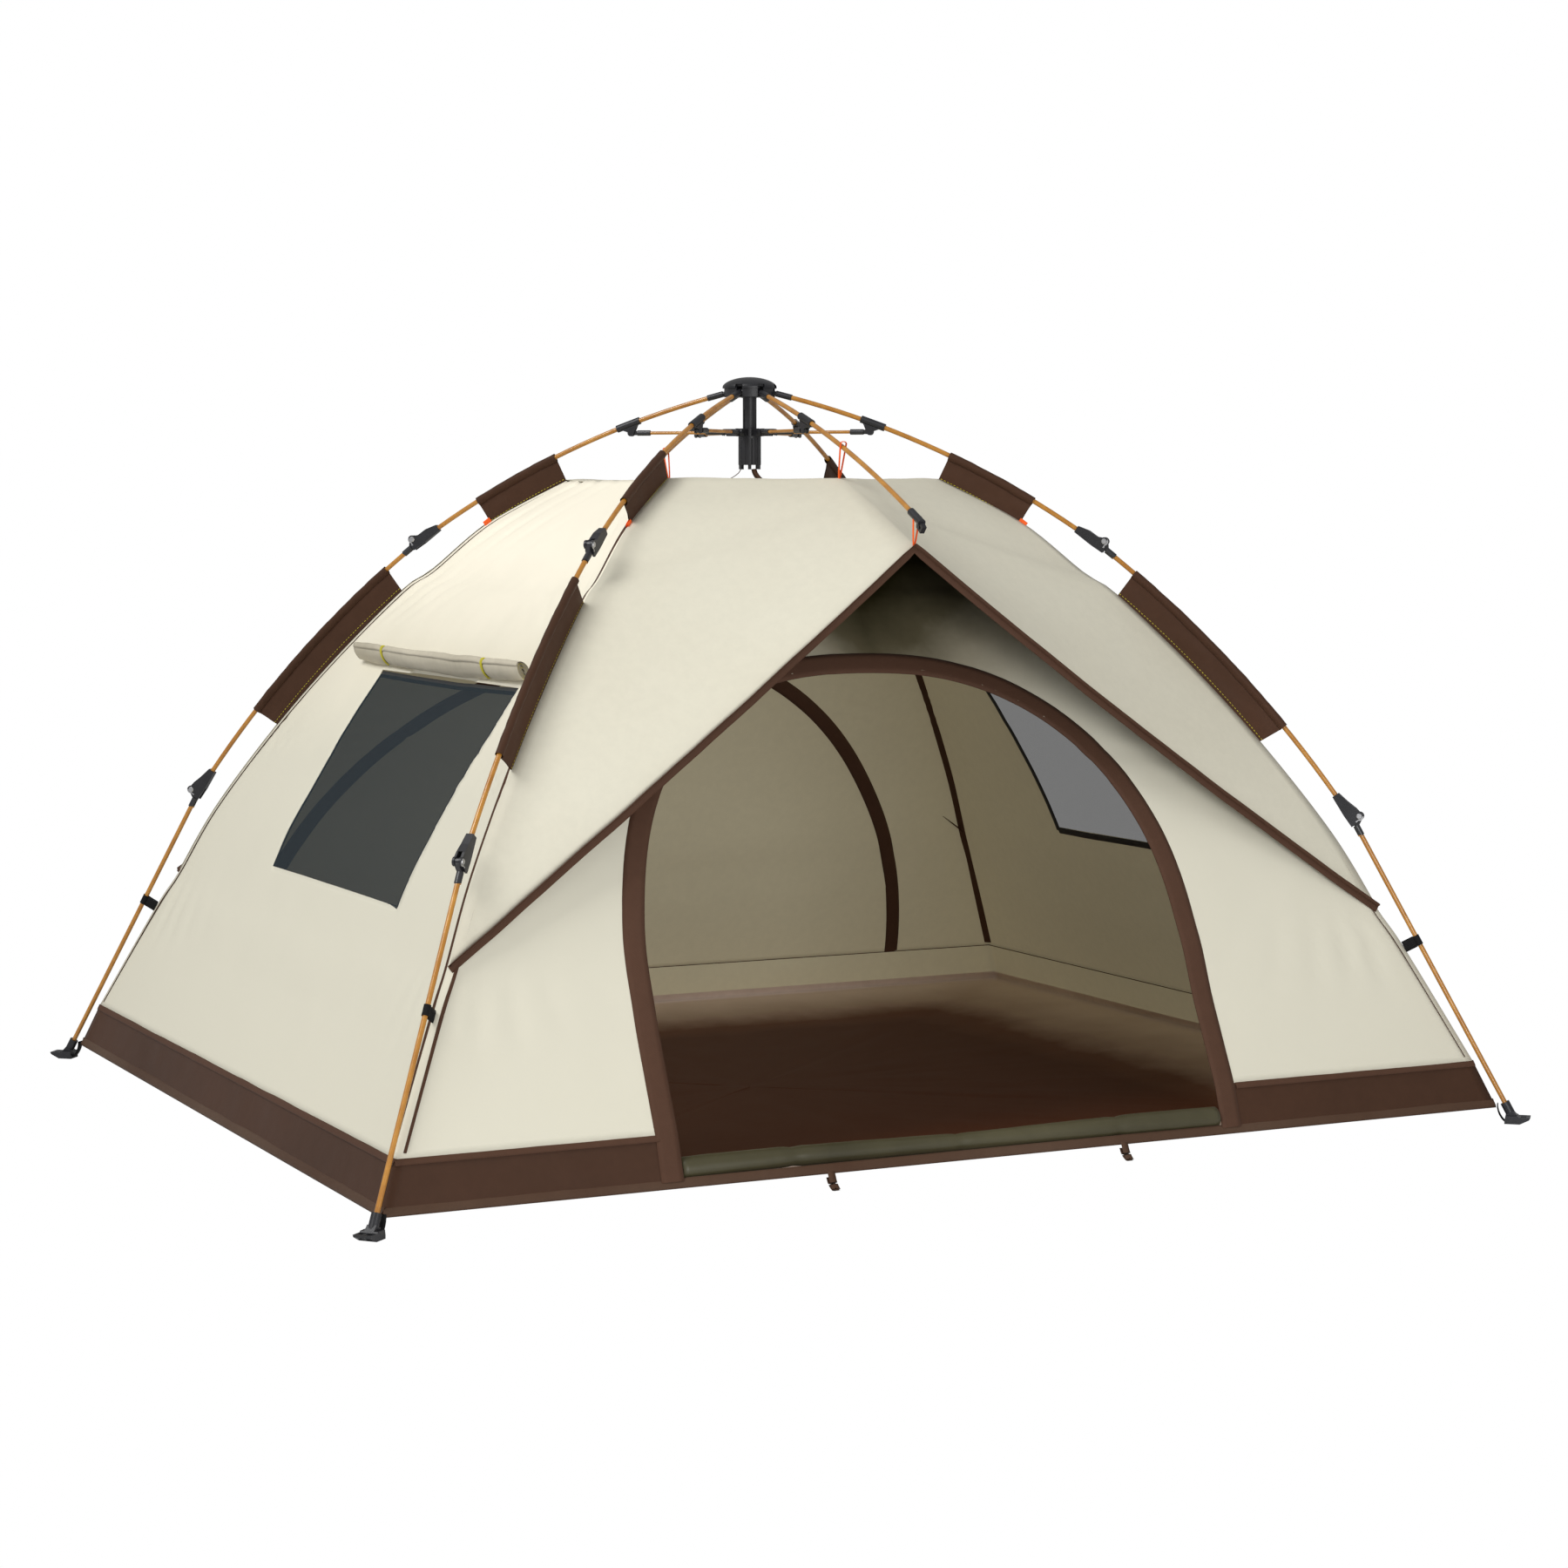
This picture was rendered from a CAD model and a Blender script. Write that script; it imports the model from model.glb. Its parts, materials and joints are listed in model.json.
import bpy
import bmesh
import json
import math
from mathutils import Vector, Matrix, noise


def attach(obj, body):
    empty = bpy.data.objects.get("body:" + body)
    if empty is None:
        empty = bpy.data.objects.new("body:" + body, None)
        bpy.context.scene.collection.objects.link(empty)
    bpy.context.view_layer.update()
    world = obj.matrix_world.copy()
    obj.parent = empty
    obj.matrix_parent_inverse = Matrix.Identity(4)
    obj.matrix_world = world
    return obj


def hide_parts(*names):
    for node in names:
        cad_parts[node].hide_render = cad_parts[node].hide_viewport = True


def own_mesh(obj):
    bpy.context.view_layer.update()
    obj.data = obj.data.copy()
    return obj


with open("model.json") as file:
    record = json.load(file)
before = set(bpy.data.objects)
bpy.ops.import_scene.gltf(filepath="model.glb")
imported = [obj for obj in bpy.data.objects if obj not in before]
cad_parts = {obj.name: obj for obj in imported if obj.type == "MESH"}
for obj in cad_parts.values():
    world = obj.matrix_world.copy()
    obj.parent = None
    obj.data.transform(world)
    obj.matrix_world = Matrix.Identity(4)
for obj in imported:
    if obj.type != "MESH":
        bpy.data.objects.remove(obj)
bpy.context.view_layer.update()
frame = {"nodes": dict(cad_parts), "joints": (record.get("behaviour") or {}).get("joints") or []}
nodes = frame["nodes"]
print("frame loaded", len(nodes), "nodes")

scene = bpy.context.scene
legAzimuth = 40.6
cosA = math.cos(math.radians(legAzimuth))
sinA = math.sin(math.radians(legAzimuth))
legs = {"fr": -legAzimuth, "br": legAzimuth, "bl": 180 - legAzimuth, "fl": legAzimuth - 180}


# camera
cameraData = bpy.data.cameras.new("camera")
camera = bpy.data.objects.new("camera", cameraData)
scene.collection.objects.link(camera)
cameraData.lens = 76.5
cameraData.sensor_width = 36
camera.location = (-2.6249, -5.4780, 1.0786)
camera.rotation_euler = (math.radians(90 - 4.85), 0, math.radians(-26.19))
cameraData.clip_end = 60
scene.camera = camera
print("camera placed")


# node helpers
def newMaterial(name):
    mat = bpy.data.materials.new(name)
    mat.use_nodes = True
    tree = mat.node_tree
    return mat, tree, tree.nodes["Principled BSDF"]


def rgb(code):
    parts = [int(code[i:i + 2], 16) / 255 for i in (1, 3, 5)]
    linear = [c / 12.92 if c <= 0.04045 else ((c + 0.055) / 1.055) ** 2.4 for c in parts]
    return (*linear, 1.0)


def addNode(tree, kind, inputs=None, **settings):
    node = tree.nodes.new(kind)
    for key, value in settings.items():
        setattr(node, key, value)
    for key, value in (inputs or {}).items():
        node.inputs[key].default_value = value
    return node


def mixColour(tree, factor, first, second, mode="MIX"):
    node = addNode(tree, "ShaderNodeMix", data_type="RGBA", blend_type=mode)
    for socket, value in (("Factor", factor), ("A", first), ("B", second)):
        target = [s for s in node.inputs if s.name == socket and s.enabled][0]
        if isinstance(value, bpy.types.NodeSocket):
            tree.links.new(value, target)
        else:
            target.default_value = value
    return [s for s in node.outputs if s.enabled][0]


def mathNode(tree, operation, first, second=None, third=None):
    node = addNode(tree, "ShaderNodeMath", operation=operation)
    for index, value in enumerate((first, second, third)):
        if value is None:
            continue
        if isinstance(value, bpy.types.NodeSocket):
            tree.links.new(value, node.inputs[index])
        else:
            node.inputs[index].default_value = value
    return node.outputs[0]


def ramp(tree, source, stops):
    node = addNode(tree, "ShaderNodeValToRGB")
    tree.links.new(source, node.inputs[0])
    elements = node.color_ramp.elements
    for element, (position, colour) in ((elements[1], stops[-1]), (elements[0], stops[0])):
        element.position = position
        element.color = colour
    for position, colour in stops[1:-1]:
        elements.new(position).color = colour
    return node.outputs[0]


def weaveGroup():
    group = bpy.data.node_groups.new("weave", "ShaderNodeTree")
    group.interface.new_socket("Vector", in_out="INPUT", socket_type="NodeSocketVector")
    group.interface.new_socket("Scale", in_out="INPUT", socket_type="NodeSocketFloat")
    group.interface.new_socket("Height", in_out="OUTPUT", socket_type="NodeSocketFloat")
    source = addNode(group, "NodeGroupInput")
    result = addNode(group, "NodeGroupOutput")
    parts = addNode(group, "ShaderNodeSeparateXYZ")
    group.links.new(source.outputs["Vector"], parts.inputs[0])
    waves = []
    for axis in ("X", "Y"):
        scaled = mathNode(group, "MULTIPLY", parts.outputs[axis], source.outputs["Scale"])
        waves.append(mathNode(group, "SINE", scaled))
    crossed = mathNode(group, "MULTIPLY", waves[0], waves[1])
    group.links.new(crossed, result.inputs["Height"])
    return group


weave = weaveGroup()


def clothMaterial(name, colour, shade, roughness=0.62, sheen=0.02, threads=2600, bumpStrength=0.12,
                  stain=0.06, crumple=0.0, gloss=0.15):
    mat, tree, shader = newMaterial(name)
    coords = addNode(tree, "ShaderNodeUVMap", uv_map="cloth")
    place = addNode(tree, "ShaderNodeTexCoord")
    threadsNode = addNode(tree, "ShaderNodeGroup", node_tree=weave)
    threadsNode.inputs["Scale"].default_value = threads
    tree.links.new(coords.outputs[0], threadsNode.inputs["Vector"])
    cloud = addNode(tree, "ShaderNodeTexNoise", {"Scale": 2.3, "Detail": 5.0, "Roughness": 0.6})
    tree.links.new(place.outputs["Object"], cloud.inputs["Vector"])
    grain = addNode(tree, "ShaderNodeTexNoise", {"Scale": 60.0, "Detail": 4.0, "Roughness": 0.65})
    tree.links.new(place.outputs["Object"], grain.inputs["Vector"])
    tone = ramp(tree, cloud.outputs[0], [(0.3, shade), (0.7, colour)])
    fine = ramp(tree, grain.outputs[0], [(0.35, (1 - stain, 1 - stain, 1 - stain, 1)), (0.65, (1, 1, 1, 1))])
    tree.links.new(mixColour(tree, 1.0, tone, fine, "MULTIPLY"), shader.inputs["Base Color"])
    shader.inputs["Roughness"].default_value = roughness
    shader.inputs["Sheen Weight"].default_value = sheen
    shader.inputs["Sheen Roughness"].default_value = 0.4
    shader.inputs["Specular IOR Level"].default_value = gloss
    height = mathNode(tree, "MULTIPLY_ADD", threadsNode.outputs[0], 0.15, grain.outputs[0])
    if crumple:
        folds = addNode(tree, "ShaderNodeTexNoise", {"Scale": 9.0, "Detail": 3.0, "Distortion": 1.2})
        tree.links.new(place.outputs["Object"], folds.inputs["Vector"])
        height = mathNode(tree, "MULTIPLY_ADD", folds.outputs[0], crumple, height)
    bump = addNode(tree, "ShaderNodeBump", {"Strength": bumpStrength, "Distance": 0.002})
    tree.links.new(height, bump.inputs["Height"])
    tree.links.new(bump.outputs[0], shader.inputs["Normal"])
    return mat


creamCloth = clothMaterial("creamCloth", rgb("#DDD9C7"), rgb("#DAD5C2"), crumple=0.8, stain=0.03)
creamInside = clothMaterial("creamInside", rgb("#CFC8AD"), rgb("#C9C2A7"), crumple=0.8, stain=0.04)
daylight = {"colour": "#7A7460", "strength": 0.38}  # what comes through the cloth
creamShader = creamInside.node_tree.nodes["Principled BSDF"]
creamShader.inputs["Emission Color"].default_value = rgb(daylight["colour"])
creamShader.inputs["Emission Strength"].default_value = daylight["strength"]
brownCloth = clothMaterial("brownCloth", rgb("#4D3528"), rgb("#453024"), roughness=0.5, crumple=2.0,
                           gloss=0.08)
brownInside = clothMaterial("brownInside", rgb("#E0CDC0"), rgb("#CBB7AA"), roughness=0.45, crumple=3.0)
bindingCloth = clothMaterial("bindingCloth", rgb("#583F32"), rgb("#523A2D"), threads=1500,
                             bumpStrength=0.2, gloss=0.08)
oliveCloth = clothMaterial("oliveCloth", rgb("#555038"), rgb("#3C3824"), crumple=1.0, roughness=0.4,
                           stain=0.05, gloss=0.4)
borderCloth = clothMaterial("borderCloth", rgb("#3C3E40"), rgb("#333537"), threads=1500)
flapCloth = clothMaterial("flapCloth", rgb("#D8D0BC"), rgb("#B4AC98"), crumple=1.5)
yellowCloth = clothMaterial("yellowCloth", rgb("#D4C832"), rgb("#B8AE3A"), threads=1500)
orangeCloth = clothMaterial("orangeCloth", rgb("#FF6B2E"), rgb("#F2601F"), threads=1500)
webCloth = clothMaterial("webCloth", rgb("#1A1A1B"), rgb("#111112"), threads=1100, bumpStrength=0.4,
                         roughness=0.7)


# a cloth whose colour changes with a field made from its place
def toneField(name, field, stops, roughness=0.6, crumple=1.0, gloss=0.12):
    mat = clothMaterial(name, stops[0][1], stops[0][1], roughness=roughness, crumple=crumple, gloss=gloss)
    tree = mat.node_tree
    shader = tree.nodes["Principled BSDF"]
    place = addNode(tree, "ShaderNodeTexCoord")
    split = addNode(tree, "ShaderNodeSeparateXYZ")
    tree.links.new(place.outputs["Object"], split.inputs[0])
    grain = addNode(tree, "ShaderNodeTexNoise", {"Scale": 7.0, "Detail": 4.0, "Roughness": 0.6})
    tree.links.new(place.outputs["Object"], grain.inputs["Vector"])
    value = field(tree, split.outputs)
    value = mathNode(tree, "MULTIPLY_ADD", mathNode(tree, "SUBTRACT", grain.outputs[0], 0.5), 0.10, value)
    tone = ramp(tree, value, stops)
    tree.links.new(tone, shader.inputs["Base Color"])
    return mat


def floorField(tree, xyz):
    across = mathNode(tree, "DIVIDE", mathNode(tree, "ABSOLUTE", xyz[0]), 1.034)
    along = mathNode(tree, "DIVIDE", mathNode(tree, "ABSOLUTE", xyz[1]), 0.888)
    return mathNode(tree, "MAXIMUM", across, along)


def peakField(tree, xyz):
    # 0 at the awning's peak, growing with the distance from it, slower to the right
    left = mathNode(tree, "MULTIPLY", xyz[0], -0.85)
    right = mathNode(tree, "MULTIPLY", xyz[0], 0.42)
    down = mathNode(tree, "SUBTRACT", 1.005, xyz[2])
    across = mathNode(tree, "MAXIMUM", left, right)
    away = mathNode(tree, "ADD", across, mathNode(tree, "MULTIPLY", down, 0.9))
    return mathNode(tree, "MAXIMUM", away, 0.0)


def heightField(tree, xyz):
    return mathNode(tree, "MULTIPLY", xyz[2], 1.0)


floorCloth = toneField("floorCloth", floorField, [
    (0.62, rgb("#56280F")), (0.72, rgb("#6B4330")), (0.82, rgb("#B59D8F")),
    (0.95, rgb("#E0CDC0"))], crumple=3.0)
awningUnder = toneField("awningUnder", peakField, [
    (0.02, rgb("#1E1A08")), (0.20, rgb("#2A2515")), (0.42, rgb("#5E5848")), (0.75, rgb("#A8A290"))])
frontCream = toneField("frontCream", peakField, [
    (0.09, rgb("#2B2612")), (0.17, rgb("#5F5843")), (0.25, rgb("#A59D88")), (0.36, rgb("#CFCAB7")),
    (0.46, rgb("#DDD9C7"))])
sideCream = toneField("sideCream", heightField, [
    (0.60, rgb("#DDD9C7")), (0.80, rgb("#ECE6D2")), (0.98, rgb("#FFF8E4"))])


print("cloth materials made")


def meshCloth():
    mat, tree, shader = newMaterial("meshCloth")
    coords = addNode(tree, "ShaderNodeUVMap", uv_map="cloth")
    threadsNode = addNode(tree, "ShaderNodeGroup", node_tree=weave)
    threadsNode.inputs["Scale"].default_value = 2400
    tree.links.new(coords.outputs[0], threadsNode.inputs["Vector"])
    tone = ramp(tree, threadsNode.outputs[0], [(0.0, rgb("#272F34")), (1.0, rgb("#37434A"))])
    tree.links.new(tone, shader.inputs["Base Color"])
    shader.inputs["Roughness"].default_value = 0.75
    shader.inputs["Alpha"].default_value = 0.83
    shader.inputs["Specular IOR Level"].default_value = 0.1
    return mat


meshGrey = meshCloth()


def poleMaterial(name, tests=()):
    # golden rod, black where a test point is near: tests are (point, radius)
    mat, tree, shader = newMaterial(name)
    place = addNode(tree, "ShaderNodeTexCoord")
    streak = addNode(tree, "ShaderNodeTexNoise", {"Scale": 30.0, "Detail": 4.0, "Roughness": 0.6})
    tree.links.new(place.outputs["Object"], streak.inputs["Vector"])
    gold = ramp(tree, streak.outputs[0], [(0.3, rgb("#A56A1C")), (0.7, rgb("#C48A35"))])
    grain = addNode(tree, "ShaderNodeTexNoise", {"Scale": 900.0, "Detail": 2.0})
    tree.links.new(place.outputs["Object"], grain.inputs["Vector"])
    black = ramp(tree, grain.outputs[0], [(0.3, rgb("#151517")), (0.7, rgb("#222226"))])
    mask = None
    for point, radius in tests:
        away = addNode(tree, "ShaderNodeVectorMath", operation="DISTANCE")
        tree.links.new(place.outputs["Object"], away.inputs[0])
        away.inputs[1].default_value = point
        near = mathNode(tree, "LESS_THAN", away.outputs["Value"], radius)
        mask = near if mask is None else mathNode(tree, "MAXIMUM", mask, near)
    if mask is None:
        tree.links.new(gold, shader.inputs["Base Color"])
        shader.inputs["Roughness"].default_value = 0.28
    else:
        tree.links.new(mixColour(tree, mask, gold, black), shader.inputs["Base Color"])
        rough = mathNode(tree, "MULTIPLY_ADD", mask, 0.2, 0.28)
        tree.links.new(rough, shader.inputs["Roughness"])
    shader.inputs["Coat Weight"].default_value = 0.4
    shader.inputs["Coat Roughness"].default_value = 0.15
    bump = addNode(tree, "ShaderNodeBump", {"Strength": 0.05, "Distance": 0.0005})
    tree.links.new(grain.outputs[0], bump.inputs["Height"])
    tree.links.new(bump.outputs[0], shader.inputs["Normal"])
    return mat


def plasticMaterial(name, pins=()):
    # black moulded plastic; pins are (point, axis, inner half width) of bright rivet heads
    mat, tree, shader = newMaterial(name)
    place = addNode(tree, "ShaderNodeTexCoord")
    grain = addNode(tree, "ShaderNodeTexNoise", {"Scale": 1200.0, "Detail": 2.0})
    cloud = addNode(tree, "ShaderNodeTexNoise", {"Scale": 25.0, "Detail": 3.0})
    for texture in (grain, cloud):
        tree.links.new(place.outputs["Object"], texture.inputs["Vector"])
    black = ramp(tree, cloud.outputs[0], [(0.3, rgb("#17171A")), (0.7, rgb("#26262B"))])
    mask = None
    for point, axis, half in pins:
        offset = addNode(tree, "ShaderNodeVectorMath", operation="SUBTRACT")
        tree.links.new(place.outputs["Object"], offset.inputs[0])
        offset.inputs[1].default_value = point
        along = addNode(tree, "ShaderNodeVectorMath", operation="DOT_PRODUCT")
        tree.links.new(offset.outputs[0], along.inputs[0])
        along.inputs[1].default_value = axis
        far = mathNode(tree, "GREATER_THAN", mathNode(tree, "ABSOLUTE", along.outputs["Value"]), half)
        size = addNode(tree, "ShaderNodeVectorMath", operation="LENGTH")
        tree.links.new(offset.outputs[0], size.inputs[0])
        near = mathNode(tree, "LESS_THAN", size.outputs["Value"], half + 0.006)
        both = mathNode(tree, "MULTIPLY", far, near)
        mask = both if mask is None else mathNode(tree, "MAXIMUM", mask, both)
    if mask is not None:
        tree.links.new(mixColour(tree, mask, black, rgb("#B8B8BA")), shader.inputs["Base Color"])
        tree.links.new(mask, shader.inputs["Metallic"])
    else:
        tree.links.new(black, shader.inputs["Base Color"])
    shader.inputs["Roughness"].default_value = 0.42
    bump = addNode(tree, "ShaderNodeBump", {"Strength": 0.12, "Distance": 0.0004})
    tree.links.new(grain.outputs[0], bump.inputs["Height"])
    tree.links.new(bump.outputs[0], shader.inputs["Normal"])
    return mat


# frame finishes
joints = {j["name"]: j for j in frame["joints"]}


def pinOf(name):
    return Vector(joints[name]["pos_m"])


def paint(node, mat):
    obj = nodes[node]
    if not obj.material_slots:
        obj.data.materials.append(mat)
    for entry in obj.material_slots:
        entry.link = "OBJECT"
        entry.material = mat


plainPlastic = plasticMaterial("blackPlastic")
plainPole = poleMaterial("goldenPole")
for name in nodes:
    if name.startswith(("hub", "column", "runner", "foot")):
        paint(name, plainPlastic)
    elif name.startswith(("rib_fittings", "strap")):
        paint(name, plainPlastic)
    elif name.startswith("rib_"):
        paint(name, plainPole)
for key in list(legs) + ["front", "back"]:
    clip = pinOf("stretcher_fold_" + key)
    direction = Vector((clip.x, clip.y, 0)).normalized()
    inner = direction * 0.046 + Vector((0, 0, clip.z))
    paint("stretcher_" + key, poleMaterial("stretcherPole_" + key, [(inner, 0.037), (clip, 0.037)]))
for key, azimuth in legs.items():
    across = Vector((math.sin(math.radians(azimuth)), -math.cos(math.radians(azimuth)), 0))
    upper = pinOf("upper_elbow_fold_" + key)
    lower = pinOf("lower_elbow_fold_" + key)
    paint("upper_elbow_" + key, plasticMaterial("upperElbow_" + key, [(upper, across, 0.0079)]))
    paint("lower_elbow_" + key, plasticMaterial("lowerElbow_" + key, [(lower, across, 0.0079)]))
    paint("mid_pole_" + key, poleMaterial("midPole_" + key, [(upper, 0.0335)]))
    paint("lower_pole_" + key, poleMaterial("lowerPole_" + key, [(lower, 0.0335)]))
print("frame painted")


# the ridge that the canopy hangs on: distance from the hub axis and height
ridge = [
    (0.3497, 1.1161), (0.4992, 1.0402), (0.6124, 0.9513), (0.6715, 0.9132), (0.8059, 0.7869),
    (0.9316, 0.6520), (1.0564, 0.4962), (1.1343, 0.3712), (1.1831, 0.3022), (1.3047, 0.1060)]
hemPoint = (1.3464, 0.0260)
roofZ = 1.1161


def legPoint(azimuth, r, z, across=0.0):
    a = math.radians(azimuth)
    return Vector((r * math.cos(a) + across * math.sin(a), r * math.sin(a) - across * math.cos(a), z))


def arcLengths(line):
    total = [0.0]
    for first, second in zip(line, line[1:]):
        total.append(total[-1] + math.dist(first, second))
    return total


def smoothLine(line, count):
    # points at even spacing on a smooth curve through the given ones
    fine = []
    for i in range(len(line) - 1):
        p0 = line[max(i - 1, 0)]
        p1, p2 = line[i], line[i + 1]
        p3 = line[min(i + 2, len(line) - 1)]
        for k in range(12):
            t = k / 12
            fine.append(tuple(
                0.5 * (2 * b + (c - a) * t + (2 * a - 5 * b + 4 * c - d) * t * t
                       + (3 * b - a - 3 * c + d) * t ** 3)
                for a, b, c, d in zip(p0, p1, p2, p3)))
    fine.append(tuple(line[-1]))
    lengths = arcLengths(fine)
    result = []
    for k in range(count + 1):
        goal = lengths[-1] * k / count
        i = 0
        while i < len(lengths) - 2 and lengths[i + 1] < goal:
            i += 1
        span = lengths[i + 1] - lengths[i] or 1
        t = (goal - lengths[i]) / span
        result.append(tuple(a + (b - a) * t for a, b in zip(fine[i], fine[i + 1])))
    return result


def finishMesh(name, bm, materials, body="root", thickness=0.0, inside=False):
    mesh = bpy.data.meshes.new(name)
    bm.normal_update()
    bm.to_mesh(mesh)
    bm.free()
    obj = bpy.data.objects.new(name, mesh)
    scene.collection.objects.link(obj)
    for mat in materials:
        mesh.materials.append(mat)
    mesh.polygons.foreach_set("use_smooth", [True] * len(mesh.polygons))
    if thickness:
        solid = obj.modifiers.new("thickness", "SOLIDIFY")
        solid.thickness = thickness
        solid.offset = -1
        if inside:
            solid.material_offset = 1
        applyModifiers(obj)
    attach(obj, body)
    if body == "root":
        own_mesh(obj)
    return obj


def applyModifiers(obj):
    depsgraph = bpy.context.evaluated_depsgraph_get()
    baked = bpy.data.meshes.new_from_object(obj.evaluated_get(depsgraph))
    old = obj.data
    obj.modifiers.clear()
    obj.data = baked
    baked.name = old.name
    bpy.data.meshes.remove(old)


def gridMesh(rows, uvs=None, material=0, bm=None, closeU=False):
    # a sheet through rows of points, with its own cloth coordinates in metres
    bm = bm or bmesh.new()
    layer = bm.loops.layers.uv.get("cloth") or bm.loops.layers.uv.new("cloth")
    made = [[bm.verts.new(p) for p in row] for row in rows]
    across = len(rows[0])
    for i in range(len(rows) - 1):
        for j in range(across if closeU else across - 1):
            k = (j + 1) % across
            corners = [made[i][j], made[i][k], made[i + 1][k], made[i + 1][j]]
            face = bm.faces.new(corners)
            face.material_index = material
            face.smooth = True
            places = [(i, j), (i, j + 1), (i + 1, j + 1), (i + 1, j)]
            for loop, (a, b) in zip(face.loops, places):
                if uvs:
                    loop[layer].uv = uvs(a, b)
                else:
                    loop[layer].uv = (b * 0.01, a * 0.01)
    return bm


def turnFaces(bm, centre, way=1):
    # every face looks away from the centre, or towards it
    bm.normal_update()
    for face in bm.faces:
        if (face.calc_center_median() - Vector(centre)).dot(face.normal) * way < 0:
            face.normal_flip()


def wrinkle(point, scale, depth, seed=0.0):
    return depth * noise.fractal(Vector(point) * scale + Vector((seed, seed * 0.7, -seed)), 1.0, 2.0, 3)


# canopy walls: one sheet round all four sides
canopy = {
    "rows": 110, "columns": 120, "sag": 0.016, "fold": 0.0035, "soft": 0.0030,
    "doorHalf": 0.497, "doorTop": 0.800, "doorShift": -0.038, "doorSpring": 0.300, "power": 2.4,
    "windowFront": -0.400, "windowBack": 0.275, "windowLow": 0.425, "windowHigh": 0.774,
}
ridgeFine = smoothLine(ridge, canopy["rows"])
sleeveEnds = [(0.3497, 1.1164), (0.4992, 1.0405), (0.6715, 0.9135), (0.9316, 0.6523), (1.1833, 0.3022)]
sideAngles = {"front": 0.0, "right": 90.0, "back": 180.0, "left": 270.0}


def wallPoint(side, i, u):
    # i is a row of the ridge, u runs from -1 to 1 across the side
    r, z = ridgeFine[i]
    half, depth = (r * cosA, r * sinA) if side in ("front", "back") else (r * sinA, r * cosA)
    j = min(max(i, 1), len(ridgeFine) - 2)
    share = sinA if side in ("front", "back") else cosA
    slope = math.atan2(ridgeFine[j - 1][1] - ridgeFine[j + 1][1],
                       (ridgeFine[j + 1][0] - ridgeFine[j - 1][0]) * share)
    down = i / (len(ridgeFine) - 1)
    ends = min(1.0, 6 * down, 8 * (1 - down))
    sag = canopy["sag"] * (1 - u * u) * max(ends, 0.0)
    edge = 1 - abs(u)
    nearEdge = math.exp(-edge * half / 0.07)
    along = sum(math.exp(-((r - a) ** 2 + (z - b) ** 2) / 0.004) for a, b in sleeveEnds)
    fold = canopy["fold"] * min(along, 1.0) * math.sin(38 * math.atan2(edge * half + 0.02, z - 0.6) + u * 3) \
        * math.exp(-edge * half / 0.16) * min(1.0, edge * 12)
    place = Vector((u * half, depth, z))
    seed = {"front": 1.0, "right": 4.0, "back": 7.0, "left": 11.0}[side]
    loose = wrinkle(place, 2.6, canopy["soft"], seed) + wrinkle(place, 7.5, 0.0011, seed + 2)
    loose = -abs(loose) * min(1.0, edge * 7) * min(1.0, 10 * (1 - down) + 0.02) * min(1.0, 12 * down)
    push = -sag + fold * (1 - nearEdge * 0.2) + loose - abs(fold)
    local = Vector((u * half, -depth - push * math.sin(slope), z + push * math.cos(slope)))
    turn = sideAngles[side]
    return Matrix.Rotation(math.radians(turn), 3, "Z") @ local


def buildWalls():
    bm = bmesh.new()
    columns = canopy["columns"]
    rows = canopy["rows"]
    lengths = arcLengths(ridgeFine)
    for side in ("front", "right", "back", "left"):
        us = [-1 + 2 * k / columns for k in range(columns + 1)]
        grid = [[wallPoint(side, i, u) for u in us] for i in range(rows + 1)]

        def clothPlace(a, b, grid=grid):
            r = ridgeFine[a][0]
            return ((-1 + 2 * b / columns) * r * 0.7, lengths[a])
        gridMesh(grid, clothPlace, material=2 if side in ("front", "back") else 4, bm=bm)
    bmesh.ops.remove_doubles(bm, verts=bm.verts, dist=0.0004)
    cutOpenings(bm)
    turnFaces(bm, (0, 0, 0.2))
    return bm


def archValue(x, z):
    x = x - canopy["doorShift"]
    if z <= canopy["doorSpring"]:
        return abs(x) / canopy["doorHalf"]
    up = (z - canopy["doorSpring"]) / (canopy["doorTop"] - canopy["doorSpring"])
    return (abs(x / canopy["doorHalf"]) ** canopy["power"] + up ** canopy["power"]) ** (1 / canopy["power"])


def cutOpenings(bm):
    gone = []
    for face in bm.faces:
        c = face.calc_center_median()
        if c.y < 0 and archValue(c.x, c.z) < 1 and abs(c.y) / sinA > abs(c.x) / cosA:
            gone.append(face)
        elif abs(c.x) / cosA > abs(c.y) / sinA and canopy["windowFront"] < c.y < canopy["windowBack"] \
                and canopy["windowLow"] < c.z < canopy["windowHigh"]:
            gone.append(face)
    bmesh.ops.delete(bm, geom=gone, context="FACES")
    for vert in bm.verts:
        if not vert.is_boundary:
            continue
        co = vert.co
        if co.y < 0 and 0.9 < archValue(co.x, co.z) < 1.1 and abs(co.y) / sinA > abs(co.x) / cosA + 0.02:
            value = archValue(co.x, co.z)
            base = canopy["doorSpring"]
            shift = canopy["doorShift"]
            co.x = shift + (co.x - shift) / value
            if co.z > base:
                co.z = base + (co.z - base) / value
        elif abs(co.x) / cosA > abs(co.y) / sinA + 0.02 and 0.38 < co.z < 0.82:
            for key, axis in (("windowFront", 1), ("windowBack", 1), ("windowLow", 2), ("windowHigh", 2)):
                if abs(co[axis] - canopy[key]) < 0.009:
                    co[axis] = canopy[key]


wallCloths = [creamCloth, creamInside, frontCream, creamInside, sideCream, creamInside]
walls = finishMesh("canopyWalls", buildWalls(), wallCloths, thickness=0.0008, inside=True)
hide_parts("wall_front", "wall_back", "wall_left", "wall_right")
print("canopy walls", len(walls.data.polygons))


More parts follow.
